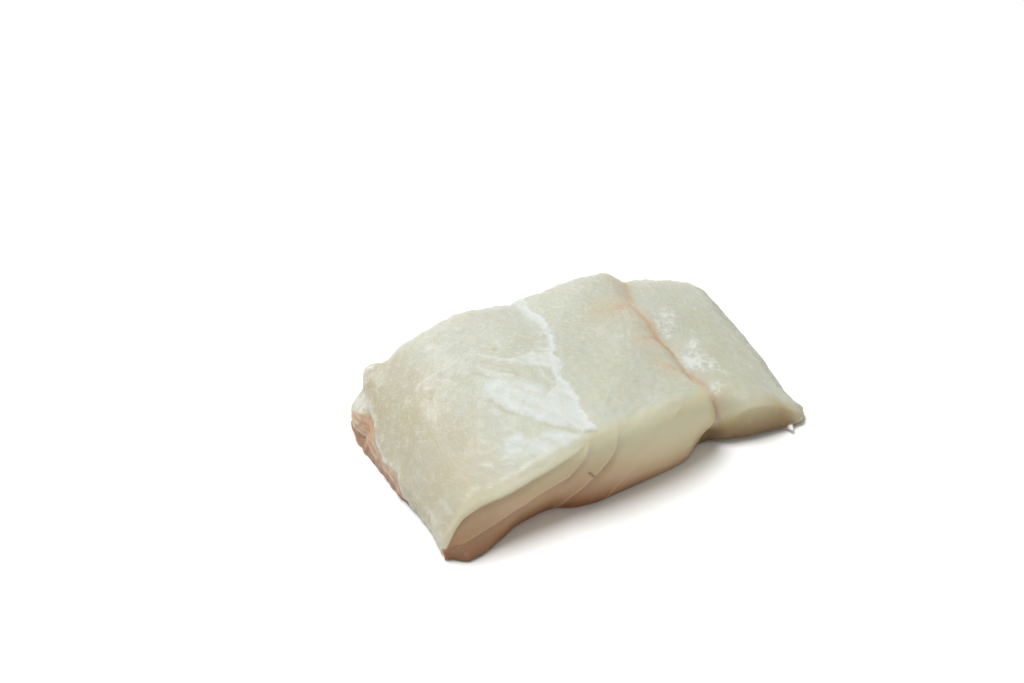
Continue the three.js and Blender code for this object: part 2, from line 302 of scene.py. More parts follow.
# The loin's end: the raw face below a rim of (y, z), the white along it, its lobe, glow, strands and wisps, a
# pale corner, and a pale lip at the rear of the top.
END_RIM = [
    (26, -2), (31, 2), (33, 7), (36, 10), (41, 8.5), (45, 7), (50, 8), (53, 11), (56, 16), (60, 14.5),
    (65, 12), (70, 9),
]
END_LINING_OVER = 1.3
END_LINING_WIDTH = 1.2
END_WHITE = (-9, -3)
END_WHITE_FOOT = (0, -1)
END_WHITE_Y = (54, 62)
LOBE = (66, 10)
LOBE_REACH = (6, 5.5)
LOBE_STAND = 3.6
LOBE_FADE = (1.5, 0.4)
END_GLOW = (58, 10.5)
END_GLOW_REACH = (2, 3.5)
END_STRANDS = [[(66, 6), (58, 4.7), (50, 4)], [(60, 12), (54, 7.5), (48, 5.5)], [(44, 5), (37, 5), (31, 2)]]
END_STRAND_WIDTH = 0.7
END_STRAND_STAND = 0.4
END_WISPS = [[(19.6, 2.1), (16.2, 1.9), (11.6, 3.2), (6.8, 4.8)], [(17.1, 10.4), (13.3, 10.2), (9.5, 9.9)]]
END_WISP_WIDTH = 1.1
END_WISP_SHARE = 0.7
END_CORNER = (8, 7)
END_CORNER_REACH = (6, 5)
END_CORNER_SHARE = 0.45
END_LIP_X = (7, 4)
END_LIP_Y = (65.5, 69)
END_LIP_Z = (17, 20)

# The white shred under the tip of the flap, at (x, z). It is painted whiter than its own tone, as painted
# light against the shade under the tip.
SHRED = (129.6, 2)
SHRED_WIDTH = 0.9
SHRED_EDGE = 1
SHRED_STAND = 2.6
SHRED_SPAN = (0.15, 0.5)
SHRED_FACING = (0.1, 0.4)

# Small marks on the front cut: a dark speck, and blood as a line and as spots of x, z and radius.
SPECK = [(50.1, 18.6), (52.3, 15.5)]
SPECK_EDGE = (0.5, 0.1)
BLOOD_LINE = [(-1.3, 3.8), (0.3, 5.8), (2, 7.2)]
BLOOD_LINE_WIDTH = 0.1
BLOOD_SPOTS = [(-1.1, 3.4, 0.6), (-1, 1.4, 0.4), (18.3, 0.8, 0.7), (27, 0.8, 0.8)]

# Broad tones of the top, by where they are. The grey band at the flap's tip is painted shade where it rounds
# off.
WARM_X = (32, 8)
WARM_SHARE = 0.7
COOL_X = (104, 118)
TIP_SHADE_X = (132.5, 136)
PALE_X = (8, 24)
PALE_Y = (46, 72)
PALE_LOSS = 0.4
PALE_LOSS_FROM = (84, 96)
PALE_LOSS_TO = (112, 104)
CRISP = (0.5, 1.3)
CRISP_Y = (5, 55)
GRANULAR_FROM = (56, 70)
GRANULAR_TO = (104, 94)

# Fibres run round a centre on the loin and straight across the flap: where one way goes over into the other,
# the length of a turn of one radian, the share that counts along them, and where they show.
FIBRE_CENTRE = (40, 25)
FIBRE_FLOW = (50, 100)
FIBRE_ARC = 30
FIBRE_STRETCH = 0.2
LOIN_FIBRES = (52, 40)
FLAP_FIBRES = (98, 116)

# Seeded noise: cells of its table, layers, the shift between layers, and for each use height, size and seed,
# with where it shows.
NOISE_CELLS = 64
NOISE_LAYERS = 2
NOISE_SHIFT = 11.7
WANDER_X = [(0.7, 5, 1), (0.25, 1.8, 2)]
WANDER_Y = [(0.7, 5, 3), (0.25, 1.8, 4)]
LUMPS = [(0.14, 7, 5), (0.07, 2.2, 6)]
END_TEARS = (0.35, 5, 7)
END_GRAIN = (0.15, 1.5, 8)
END_CRAGS = (0.45, 3, 21)
END_STRETCH = 0.4
WARM_PATCHES = (0.3, 9, 10)
FIBRE_WANDER = (1.2, 9, 12)
FOLD_NOISE = (1, 2.2, 13)
FIBRE_RIDGES = (0.1, 2.6, 15)
TIP_CRAGS = (0.7, 1.6, 14)
TIP_X = (131, 137)
TIP_Y = (10, 2)
TOP_GRAIN = (0.1, 1.7, 16)
TIP_SHADE_WANDER = (0.5, 5, 17)
FAT_CRAGS = (0.25, 1.6, 18)
FLAP_END_WAVES = (0.7, 11, 19)
FLAP_END_STRETCH = 0.2
FLAP_END_CRAGS = (0.12, 1.8, 20)
REAR_RIM_CRAGS = (0.35, 2.4, 22)
REAR_RIM_Y = (67, 72)
REAR_RIM_UP = (0.6, 0.9)

# How far a surface has to face a way to count as that side, from not at all to fully.
ON_TOP = (0.2, 0.6)
SHEER_ON_TOP = (0.3, 0.7)
ON_CUT = (0.55, 0.95)
LIP_HIGHLIGHT_ON_CUT = (0.6, 0.98)
BLUSH_ON_REAR = (0.6, 0.95)
BLOOD_ON_FRONT = (0.2, 0.5)
ON_END = (0.4, 0.8)
BETWEEN_CUTS = (-0.1, 0.1)

# Masks of depths keep within this many millimetres.
DEPTH_LIMIT = 2

# Cells along, across and up; the flesh's underside has cells this many times as long.
CELLS = (280, 116, 64)
SKIN_CELLS = (160, 80, 3)
UNDERSIDE_STEP = 2

# Noises of the flesh's material: size in millimetres, detail, stretch, distortion and turn in degrees.
FLESH_NOISES = {
    "broad": dict(size=16, detail=3, distortion=0.6),
    "middle": dict(size=4, detail=3, distortion=0.4),
    "fine": dict(size=1.3, detail=3),
    "grain": dict(size=0.7, detail=2),
    "ragged": dict(size=2, detail=5, distortion=0.7),
    "threads": dict(size=1.1, detail=3, stretch=(1, 0.16, 1), distortion=0.5),
    "creases": dict(size=1.8, detail=3, stretch=(0.12, 1, 1), distortion=0.5, turn=56.6),
    "sheets": dict(size=3, detail=2, stretch=(0.1, 1, 1), distortion=0.3, turn=60),
    "flecks": dict(size=1.3, detail=4, stretch=(0.5, 1, 1), distortion=0.9, turn=40),
}
FIBRE_NOISE = {"Scale": 1.5, "Detail": 3, "Distortion": 0.3}
FIBRE_NOISE_STRETCH = 0.14

# Layers of paint, in order: a tint of 0 to 255 and what says how much of it shows. A mask counts as it is. A
# depth is a mask with a soft edge, torn by so many rough millimetres. A field is a noise or a height, whose
# span goes to an amount. The most is a share of them all.
TOP_TINT = (187, 189, 176)
TOP_LAYERS = [
    dict(tint=(185, 186, 171), field="broad", span=(0.3, 0.7)),
    dict(tint=(181, 183, 166), mask="cool"),
    dict(tint=(184, 174, 149), mask="warm"),
    dict(tint=(195, 197, 186), mask="pale"),
    dict(tint=(178, 174, 148), field="middle", span=(0.45, 0.75), amount=(0, 0.28)),
    dict(tint=(194, 196, 184), field="middle", span=(0.5, 0.28), amount=(0, 0.25)),
    dict(tint=(208, 209, 201), mask="crisp", field="flecks", span=(0.52, 0.7), amount=(0, 0.36)),
    dict(tint=(170, 168, 146), mask="granular", field="fine", span=(0.42, 0.65), amount=(0, 0.22)),
    dict(tint=(206, 206, 196), mask="fibrous", field="fibre", span=(0.52, 0.7), amount=(0, 0.3)),
    dict(tint=(176, 168, 142), mask="fibrous", field="fibre", span=(0.48, 0.28), amount=(0, 0.16)),
    # Painted shade on the band at the flap's tip, with pale streaks over it.
    dict(tint=(158, 162, 146), mask="tip_shade", most=0.7),
    dict(tint=(200, 203, 192), mask="tip_shade", field="flecks", span=(0.45, 0.65), amount=(0, 0.5)),
    dict(tint=(188, 180, 152), mask="flap_tan", most=0.7),
    dict(tint=(196, 180, 152), mask="seam_glow", most=0.5),
    # Painted light on the roll over the front edge, paler the more it faces the front.
    dict(tint=(206, 204, 179), mask="roll", most=0.75),
]
# The cuts darken towards the ground: partly the flesh's own darker tone near the skin, partly painted shade.
CUT_RAMP = [
    (0, (126, 72, 38)), (1.2, (136, 93, 58)), (4, (165, 129, 94)), (9, (186, 160, 127)),
    (16, (196, 180, 143)), (27, (204, 194, 160)), (34, (205, 199, 169)),
]
CUT_LAYERS = [
    # Painted shade just under the edge of each flake, where the flake above overhangs.
    dict(tint=(146, 112, 82), depth="within", edge=(0.45, 0), most=0.55),
    dict(tint=(205, 203, 178), mask="shoulder", most=0.8),
]
FLAP_RAMP = [(0, (100, 72, 40)), (0.35, (142, 119, 82)), (0.7, (176, 163, 127)), (1, (197, 194, 169))]
RAW_TINT = (179, 149, 122)
RAW_LAYERS = [
    dict(tint=(201, 183, 159), field="threads", span=(0.35, 0.65)),
    dict(tint=(202, 146, 108), field="middle", span=(0.48, 0.7), amount=(0, 0.5)),
    dict(tint=(208, 142, 102), mask="end_glow", most=0.7),
    dict(tint=(146, 106, 84), field="height", span=(8 * MM, 1 * MM), amount=(0, 0.8)),
]
RAW_SHARE = dict(depth="end", rough=0.6, edge=(-0.4, 0.4))
MARK_LAYERS = [
    dict(tint=(210, 212, 206), mask="end_rim", field="ragged", span=(0.35, 0.6), amount=(0.3, 0.85)),
    # Painted light: the shred is made whiter than its own tone, against the shade under the tip.
    dict(tint=(246, 247, 244), mask="shred"),
    dict(tint=(198, 186, 170), mask="strands", most=0.4),
    # Painted highlight along the lower edges of the flakes.
    dict(tint=(198, 187, 158), mask="lip", most=0.35),
    # Olive creases, and painted shade along the film's folds.
    dict(tint=(166, 161, 128), mask="olive", most=0.55),
    dict(tint=(196, 201, 197), depth="sheer", rough=0.9, edge=(-1.5, 1.5),
         field="sheets", span=(0.3, 0.62), amount=(0.4, 0.95)),
    dict(tint=(196, 201, 197), depth="film", rough=1.2, edge=(-2, 1), most=0.3),
    dict(tint=(203, 207, 204), depth="film", rough=1.3, edge=(-0.3, 1.1),
         field="creases", span=(0.3, 0.66), amount=(0.25, 0.7)),
    dict(tint=(205, 210, 208), mask="film_rim", depth="film", rough=1.2, edge=(-0.7, 0.7),
         field="ragged", span=(0.3, 0.6), amount=(0.45, 0.95)),
    dict(tint=(204, 208, 202), depth="thread", rough=0.3, edge=(-0.4, 0.4), most=0.5),
    dict(tint=(207, 210, 204), depth="fat", rough=2, edge=(-1.6, 1.6),
         field="ragged", span=(0.4, 0.6), amount=(0.1, 0.95)),
    dict(tint=(209, 212, 208), depth="fat_core", rough=1.2, edge=(-0.9, 0.9), most=0.8),
    dict(tint=(188, 150, 122), depth="seam", rough=0.6, edge=(-1.8, 1.8),
         field="middle", span=(0.35, 0.62), amount=(0.35, 0.75)),
    dict(tint=(186, 132, 112), depth="seam_red", rough=0.8, edge=(-1.4, 1.4), most=0.6),
    dict(tint=(150, 44, 32), depth="blood", rough=0.5, edge=(-0.3, 0.3), most=0.6),
    dict(tint=(62, 60, 40), mask="speck", most=0.9),
]
GRAIN_TINT = (120, 116, 100)
GRAIN_LAYERS = [dict(tint=(255, 255, 250), field="grain", span=(0.3, 0.7))]
GRAIN_SHARE = dict(mask="crisp", most=0.08)
FLESH_ROUGHNESS = dict(field="middle", span=(0.3, 0.7), amount=(0.42, 0.58))
FLESH_FINISH = {
    "Specular IOR Level": 0.35,
    "Subsurface Weight": 0.6,
    "Subsurface Radius": (1, 0.6, 0.4),
    "Subsurface Scale": 6 * MM,
    "Coat Weight": 0.06,
    "Coat Roughness": 0.15,
}
FLESH_BUMP = {"Strength": 0.3, "Distance": 0.2 * MM}
FINE_BUMP = 0.7
FIBRE_BUMP = 0.5

# The skin's material, in the same way.
SKIN_NOISES = {"blotch": dict(size=5, detail=4, distortion=0.5), "fine": dict(size=0.9, detail=3)}
SKIN_SCALE_SIZE = 1.3
SKIN_TINT = (66, 64, 32)
SKIN_LAYERS = [
    dict(tint=(146, 140, 76), field="blotch", span=(0.4, 0.62)),
    dict(tint=(96, 92, 48), field="scales", span=(0.25, 0.6), amount=(0, 0.6)),
    dict(tint=(196, 196, 176), field="fine", span=(0.6, 0.72), amount=(0, 0.8)),
]
SKIN_FINISH = {"Roughness": 0.3, "Coat Weight": 0.3, "Coat Roughness": 0.15}
SKIN_BUMP = {"Strength": 0.4, "Distance": 0.2 * MM}

# The camera of the photograph: angles in degrees, distance and aim in millimetres.
LENS = 85
SENSOR = 36
PITCH = 44
TURN = 28.283
DISTANCE = 863.5
AIM = (66.32, 81.95, 0)

# The stage, in metres: a pale floor just under the fillet, a soft surrounding light and two round lamps, each
# with its size, its power and how far its way leans to the back and to the left of the camera's view.
FLOOR_REACH = 6
FLOOR_DROP = 0.2 * MM
PAPER_FINISH = {"Base Color": (0.95, 0.95, 0.95, 1), "Roughness": 0.9, "Specular IOR Level": 0.1}
WORLD_LIGHT = {"Color": (0.99, 0.96, 0.87, 1), "Strength": 0.42}
LAMPS = [("key", 0.72, 18, 0.08, 0.24), ("sheen", 0.5, 1, 0.95, 0.15)]
LAMP_COLOUR = (0.96, 0.98, 1)
LAMP_DISTANCE = 1.4


def smooth(t, low, high):
    """0 at low, 1 at high, eased between; low may be the larger."""
    t = np.clip((t - low) / (high - low), 0, 1)
    return t * t * (3 - 2 * t)


def lerp(a, b, t):
    return a + (b - a) * t


def profile(stations, t):
    """A smooth curve through stations that never overshoots, level beyond its ends."""
    xs, ys = np.array(stations, float).T
    slope = np.diff(ys) / np.diff(xs)
    tangent = np.concatenate([slope[:1], np.zeros(len(slope) - 1), slope[-1:]])
    turn = slope[:-1] * slope[1:]
    same = turn > 0
    tangent[1:-1][same] = 2 * turn[same] / (slope[:-1] + slope[1:])[same]
    t = np.clip(t, xs[0], xs[-1])
    i = np.clip(np.searchsorted(xs, t, side="right") - 1, 0, len(slope) - 1)
    span = xs[i + 1] - xs[i]
    s = (t - xs[i]) / span
    start = (1 + 2 * s) * (1 - s) ** 2 * ys[i] + s * (1 - s) ** 2 * span * tangent[i]
    return start + s * s * (3 - 2 * s) * ys[i + 1] - s * s * (1 - s) * span * tangent[i + 1]


def groove(distance, half_width):
    return np.exp(-(distance / half_width) ** 2)


def ripple(rows, a, b):
    return sum(h * np.sin(2 * math.pi * (a / p + b / q) + phase) for h, p, q, phase in rows)


def cloud(row, *axes):
    """Seeded noise over the axes, of about minus to plus a height, in lumps of about a size."""
    height, size, seed = row
    table = np.random.default_rng(seed).uniform(-1, 1, (NOISE_CELLS,) * len(axes))
    total = 0
    for layer in range(NOISE_LAYERS):
        q = np.stack(axes, -1) / size * 2 ** layer + NOISE_SHIFT * layer
        cell = np.floor(q).astype(int)
        part = q - cell
        part = part * part * (3 - 2 * part)
        for corner in np.ndindex(*(2,) * len(axes)):
            step = np.array(corner)
            share = np.prod(np.where(step, part, 1 - part), -1)
            total = total + share * table[tuple(((cell + step) % NOISE_CELLS).T)] * 0.5 ** layer
    return height * total


def in_stroke(points, x, y):
    """How far inside a stroke of changing half width each place is, negative outside."""
    best = np.full(x.shape, -np.inf)
    for (ax, ay, ar), (bx, by, br) in zip(points, points[1:]):
        dx = bx - ax
        dy = by - ay
        t = np.clip(((x - ax) * dx + (y - ay) * dy) / (dx * dx + dy * dy), 0, 1)
        best = np.maximum(best, ar + t * (br - ar) - np.hypot(x - ax - t * dx, y - ay - t * dy))
    return best


def from_line(points, x, y):
    """Distance of each place from a line through points."""
    return -in_stroke([(px, py, 0) for px, py in points], x, y)


def near_lines(rows, x, y, half_width):
    """1 on the nearest of some lines, dying away beside it."""
    return np.max([groove(from_line(points, x, y), half_width) for points in rows], 0)


def from_spot(middle, reach, a, b):
    """Distance from a middle, as a share of its reach along either axis."""
    return np.hypot((a - middle[0]) / reach[0], (b - middle[1]) / reach[1])


def depth_in(points, x, y):
    """How far inside an outline each place is, negative outside."""
    inside = np.zeros(x.shape, bool)
    for (ax, ay), (bx, by) in zip(points, points[1:] + points[:1]):
        crossing = (ay > y) != (by > y)
        inside ^= crossing & (x < ax + (y - ay) * (bx - ax) / (by - ay or 1))
    distance = from_line(points + points[:1], x, y)
    return np.where(inside, distance, -distance)


def deepest(measure, rows, x, y):
    """How far inside any of some strokes or outlines each place is."""
    return np.max([measure(points, x, y) for points in rows], 0)


def height_at(x, y, across):
    """Height of the top: curves along the front cut, the middle and the rear cut, joined across."""
    station = x - (profile(SEAM_LINE, y) - SEAM_X) * groove(x - SEAM_X, SEAM_REACH)
    front = profile(FRONT_HEIGHT, station) * (1 - across) * (1 - 2 * across)
    middle = profile(MIDDLE_HEIGHT, station) * 4 * across * (1 - across)
    rear = profile(REAR_HEIGHT, station) * across * (2 * across - 1)
    dip = sum(depth * groove(np.hypot(x - dip_x, y - dip_y), reach) for dip_x, dip_y, depth, reach in DIPS)
    return front + middle + rear - dip


def flakes(x, z):
    """Flakes of a cut: how far they stand out, where in its flake a place is, their lips of painted highlight
    and their tones.
    """
    upper = profile(FLAKE_EDGES[0], x) + TOP_FLAKE_HEIGHT
    stand = np.zeros(x.shape)
    within = np.zeros(x.shape)
    lip = np.zeros(x.shape)
    tone = np.zeros(x.shape)
    left = np.ones(x.shape)
    for stations, lip_highlight_share, flake_tone in zip(FLAKE_EDGES, FLAKE_LIP_HIGHLIGHTS, FLAKE_TONES):
        edge = profile(stations, x)
        slope = profile(stations, x + 0.5) - profile(stations, x - 0.5)
        below = (edge - z) / np.hypot(1, slope)
        along = np.clip((upper - z) / np.maximum(upper - edge, FLAKE_EDGE), 0, 1)
        past = smooth(below, -FLAKE_EDGE, FLAKE_EDGE)
        stand += FLAKE_DEPTH * along ** 2 * (1 - past)
        within += left * (1 - past) * along
        tone += left * (1 - past) * flake_tone
        lip += lip_highlight_share * groove(below + LIP_OVER_EDGE, LIP_HALF_WIDTH)
        left = left * past
        upper = edge
    fade = smooth(x, *FLAKES_FADE_IN)
    return SimpleNamespace(
        stand=stand * fade - FLAKE_SINK,
        within=within + left * LAST_FLAKE_WITHIN,
        lip=lip * fade * smooth(z, *LIP_FADE),
        tone=(tone + left * FLAKE_TONES[-1]) * fade,
    )


def block_grid(cells, step):
    """Lattice places on a closed block as shares of its sides, and its faces; the underside is coarser."""
    number = np.full([n + 1 for n in cells], -1)
    shell = np.ones(number.shape, bool)
    shell[1:-1, 1:-1, :-1] = False
    shell[step:-1:step, step:-1:step, 0] = True
    number[shell] = np.arange(shell.sum())
    places = np.argwhere(shell) / np.array(cells)

    def side(grid, flip):
        quads = np.stack([grid[:-1, :-1], grid[1:, :-1], grid[1:, 1:], grid[:-1, 1:]], -1).reshape(-1, 4)
        return (quads[:, ::-1] if flip else quads).tolist()

    faces = side(number[:, :, -1], False)
    faces += side(number[:, 0, :], False) + side(number[:, -1, :], True)
    faces += side(number[0, :, :], True) + side(number[-1, :, :], False)
    under = number[:, :, 0]
    for i in range(0, cells[0], step):
        for j in range(0, cells[1], step):
            ring = [under[i, j + k] for k in range(step)]
            ring += [under[i + k, j + step] for k in range(step)]
            ring += [under[i + step, j + step - k] for k in range(step)]
            ring += [under[i + step - k, j] for k in range(step)]
            faces.append([int(n) for n in ring if n >= 0])
    return places, faces


def rounded_block(places):
    """Places on the block moved onto its rounded edges, as shares, and the way each faces."""
    half = np.array([LENGTH, WIDTH, THICKNESS]) / 2
    corner = (places * 2 - 1) * half
    top_radius = lerp(LOIN_RADIUS, TOP_RADIUS, smooth(places[:, 0], 0, LOIN_RADIUS_REACH))
    base_radius = lerp(LOIN_BASE_RADIUS, BASE_RADIUS, smooth(places[:, 0], 0, LOIN_BASE_REACH))
    radius = lerp(base_radius, top_radius, places[:, 2])[:, None]
    inner = np.clip(corner, radius - half, half - radius)
    facing = corner - inner
    facing = facing / np.linalg.norm(facing, axis=1)[:, None]
    return ((inner + facing * radius) / half + 1) / 2, facing


def lift_at(x, y):
    """How far the flap's underside stands off the ground."""
    return profile(FLAP_LIFT, x) * smooth(y - profile(FRONT_BASE, x), FLAP_LIFT_REACH, 0)


def smooth_form(places):
    """The form without relief: places, and how far each faces the top, the two ends and the two cuts."""
    shares, facing = rounded_block(places)
    along, across, up = shares.T
    loin_x = lerp(profile(LOIN_BASE, across), profile(LOIN_RIM, across), smooth(up, *LOIN_LEDGE))
    x = lerp(loin_x, profile(FLAP_END, across), along)
    front_y = lerp(profile(FRONT_BASE, x), profile(FRONT_RIM, x), smooth(up, 0, RIM_SHARE))
    y = lerp(front_y, profile(REAR_CUT, x), across)
    z = height_at(x, y, across) * up
    tip, rear, top = np.clip(facing.T, 0, 1)
    end, front, _ = np.clip(-facing.T, 0, 1)
    return SimpleNamespace(
        x=x, y=y, z=z, up=up, facing=facing, top=top, tip=tip, end=end, front=front, rear=rear,
        from_loin=x - loin_x,
        past_nose=x - profile(JUNCTION, z),
    )


def marks_of(s):
    """Marks as depths inside them in millimetres, with edges that wander, or as shares."""
    wx = s.x + cloud(WANDER_X[0], s.x, s.y) + cloud(WANDER_X[1], s.x, s.y)
    wy = s.y + cloud(WANDER_Y[0], s.x, s.y) + cloud(WANDER_Y[1], s.x, s.y)
    half_x = 0.5 * (s.x + wx)
    half_y = 0.5 * (s.y + wy)
    film = np.maximum(depth_in(FILM_BAND, wx, wy), depth_in(FILM_BODY, wx, wy))
    olive_line = groove(from_line(OLIVE_LINE, s.x, s.y), OLIVE_LINE_WIDTH)
    olive_spot = groove(np.hypot(wx - OLIVE_SPOT[0], wy - OLIVE_SPOT[1]), OLIVE_SPOT_WIDTH)
    olive_fold_shades = OLIVE_FOLD_SHADE_SHARE * near_lines(OLIVE_FOLD_SHADES, s.x, s.y, OLIVE_FOLD_SHADE_WIDTH)
    return SimpleNamespace(
        film=np.maximum(film, deepest(in_stroke, FILM_STROKES, wx, wy)),
        film_rim=groove(from_line(FILM_RIM, wx, wy), FILM_RIM_WIDTH),
        thread=deepest(in_stroke, FILM_THREADS, half_x, half_y),
        sheer=deepest(depth_in, SHEER_OUTLINES, wx, wy),
        fat=deepest(depth_in, FAT_OUTLINES, wx, wy),
        fat_core=in_stroke(FAT_CORE, wx, wy),
        olive=np.maximum(np.maximum(olive_line, olive_spot), olive_fold_shades),
        seam=deepest(in_stroke, SEAM_STROKES, half_x, half_y),
        seam_red=in_stroke(SEAM_RED, wx, wy),
        seam_gap=half_x - profile(SEAM_LINE, s.y),
        nose=depth_in(NOSE, half_x, half_y),
        shred=groove(s.x - SHRED[0], SHRED_WIDTH) * smooth(s.z, SHRED[1] + SHRED_EDGE, SHRED[1] - SHRED_EDGE),
        strands=near_lines(END_STRANDS, s.y, s.z, END_STRAND_WIDTH),
    )


def fibres_of(s):
    """Places across and along the fibres of the flesh, and how far they show."""
    flow = smooth(s.x, *FIBRE_FLOW)
    off_x = s.x - FIBRE_CENTRE[0]
    off_y = s.y - FIBRE_CENTRE[1]
    return SimpleNamespace(
        across=lerp(np.hypot(off_x, off_y), s.x, flow) + cloud(FIBRE_WANDER, s.x, s.y),
        along=lerp(np.arctan2(off_y, -off_x) * FIBRE_ARC, s.y, flow),
        shown=s.top * (smooth(s.x, *LOIN_FIBRES) + smooth(s.x, *FLAP_FIBRES)),
    )


def top_relief(s, marks, fibres):
    """Swells, seam, creases, folded film, fat, threads and fibres on the top, and lumps all over."""
    way_x, way_y = FOLD_WAY
    folds = cloud(FOLD_NOISE, way_x * s.x + way_y * s.y, FOLD_STRETCH * (way_y * s.x - way_x * s.y))
    raised = smooth(marks.film, *FILM_EDGE) * (FILM_STAND + FILM_FOLDS * folds)
    raised += smooth(marks.fat, *FAT_EDGE) * cloud(FAT_CRAGS, s.x, s.y)
    raised += smooth(marks.sheer, *SHEER_EDGE) * (SHEER_STAND + SHEER_FOLDS * folds)
    raised += smooth(marks.thread, *THREAD_EDGE) * THREAD_STAND
    sunk = SEAM_DEPTH * groove(marks.seam_gap, SEAM_HALF_WIDTH) + OLIVE_DEPTH * marks.olive
    relief = s.top * (ripple(SWELLS, s.x, s.y) + raised - sunk)
    relief += fibres.shown * cloud(FIBRE_RIDGES, fibres.across, FIBRE_STRETCH * fibres.along)
    relief += s.top * (1 - np.clip(fibres.shown, 0, 1)) * cloud(TOP_GRAIN, s.x, s.y)
    return relief + sum(cloud(row, s.x, s.y, s.z) for row in LUMPS)


def cut_relief(s, marks, front_flakes, rear_flakes):
    """Bulge and flakes of the cuts, the nose's step over the flap, the shred and the rear rim's crags."""
    bulge = CUT_BULGE * np.sin(math.pi * s.up)
    relief = s.front * bulge + smooth(s.front, *ON_CUT) * front_flakes.stand
    relief += s.rear * bulge + smooth(s.rear, *ON_CUT) * rear_flakes.stand
    step = smooth(s.past_nose, *JUNCTION_EDGE) * smooth(s.x, *JUNCTION_END) * smooth(s.z, *JUNCTION_FOOT)
    relief += s.front * (SHRED_STAND * marks.shred - JUNCTION_STEP * step)
    rear_rim = smooth(s.y, *REAR_RIM_Y) * smooth(s.up, *REAR_RIM_UP)
    return relief + rear_rim * cloud(REAR_RIM_CRAGS, s.x, s.y)


def end_relief(s, marks):
    """Torn flesh, strands and lobe on the loin's end, and the ragged end and tip of the flap."""
    torn = cloud(END_TEARS, END_STRETCH * s.y, s.z) + cloud(END_GRAIN, s.y, s.z)
    torn += cloud(END_CRAGS, s.y, END_STRETCH * s.z)
    lobe = LOBE_STAND * smooth(from_spot(LOBE, LOBE_REACH, s.y, s.z), *LOBE_FADE)
    relief = s.end * (torn + END_STRAND_STAND * marks.strands + lobe)
    relief += s.tip * (cloud(FLAP_END_WAVES, s.y, FLAP_END_STRETCH * s.z) + cloud(FLAP_END_CRAGS, s.y, s.z))
    return relief + smooth(s.x, *TIP_X) * smooth(s.y, *TIP_Y) * cloud(TIP_CRAGS, s.x, s.y, s.z)


def within_limit(depth, share=1):
    """Depths for a mask, kept within the limit and all outside where the share is 0."""
    return lerp(-DEPTH_LIMIT, np.clip(depth, -DEPTH_LIMIT, DEPTH_LIMIT), share)


def top_masks(s, marks):
    """Masks of the marks on the top."""
    on_top = smooth(s.top, *ON_TOP)
    glow = smooth(np.maximum(marks.seam, marks.seam_red), *SEAM_GLOW)
    glow = glow * smooth(marks.seam_gap, *SEAM_GLOW_SIDE)
    return {
        "film": within_limit(marks.film, on_top),
        "film_rim": s.top * marks.film_rim,
        "thread": within_limit(marks.thread, on_top),
        "sheer": within_limit(marks.sheer, smooth(s.top, *SHEER_ON_TOP)),
        "fat": within_limit(marks.fat, on_top),
        "fat_core": within_limit(marks.fat_core),
        "seam": within_limit(marks.seam, smooth(s.z, *SEAM_FOOT)),
        "seam_red": within_limit(marks.seam_red),
        "seam_glow": glow * on_top,
        "olive": s.top * marks.olive,
    }


def cut_masks(s, marks, front_flakes, rear_flakes):
    """Masks of the cuts: where their tones show, how high the tones are with painted shade along the
    junction, the roll's painted light, painted highlights on the flakes' edges, and small marks.
    """
    nose_side = smooth(s.past_nose, *NOSE_SIDE)
    roll = smooth(profile(FLAKE_EDGES[0], s.x) - s.z, *ROLL_EDGE)
    past_roll = smooth(s.x, *ROLL_END)
    below = lerp(roll, 1, past_roll) * nose_side
    turn = CUT_TURN + MIDDLE_TURN * smooth(s.x, *MIDDLE_FROM) * smooth(s.x, *MIDDLE_TO)
    turned = smooth(s.front, turn + CUT_TURN_SPAN[0], turn + CUT_TURN_SPAN[1])
    nose = smooth(marks.nose, *NOSE_EDGE) * smooth(s.z, *NOSE_FOOT) * nose_side
    rear = smooth(s.rear, *BLUSH_ON_REAR) * smooth(s.up, *REAR_RIM_PALE)
    rise = s.z * profile(CUT_RISE, s.x) + front_flakes.tone + CUT_RISE_LIFT * smooth(s.x, *CUT_RISE_LIFT_X)
    # Painted shade in the crease along the junction.
    junction_painted_shade = groove(s.past_nose, JUNCTION_PAINTED_SHADE_WIDTH) * smooth(s.z, *JUNCTION_PAINTED_SHADE_FOOT)
    # Painted light on the roll, growing as a place faces the front.
    roll_painted_light = smooth(s.front, *ROLL_LIGHT_FACING) * (1 - below)
    roll_painted_light = lerp(roll_painted_light, smooth(s.front, *ROLL_EDGE_LIGHT_FACING), past_roll)
    blood = np.max([radius - np.hypot(s.x - x, s.z - z) for x, z, radius in BLOOD_SPOTS], 0)
    blood = np.maximum(blood, BLOOD_LINE_WIDTH - from_line(BLOOD_LINE, s.x, s.z))
    front_lip_highlight = smooth(s.front, *LIP_HIGHLIGHT_ON_CUT) * front_flakes.lip
    rear_lip_highlight = smooth(s.rear, *LIP_HIGHLIGHT_ON_CUT) * rear_flakes.lip
    to_rear = smooth(s.facing[:, 1], *BETWEEN_CUTS)
    return {
        "blush": np.clip(np.maximum(turned * below, nose) + rear, 0, 1),
        "rise": rise - JUNCTION_PAINTED_SHADE * s.front * junction_painted_shade,
        "roll": roll_painted_light * smooth(s.x, *ROLL_TO) * lerp(1, ROLL_FAINT, smooth(s.x, *ROLL_FAINT_X)),
        "shoulder": smooth(s.z, *SHOULDER_Z) * smooth(s.x, *SHOULDER_X),
        # Where in its flake a place is, which sets the painted shade under each flake's edge.
        "within": lerp(front_flakes.within, rear_flakes.within, to_rear),
        # Painted highlight along the flakes' edges.
        "lip": front_lip_highlight + rear_lip_highlight,
        "speck": s.front * smooth(from_line(SPECK, s.x, s.z), *SPECK_EDGE),
        "blood": within_limit(blood, smooth(s.front, *BLOOD_ON_FRONT)),
    }


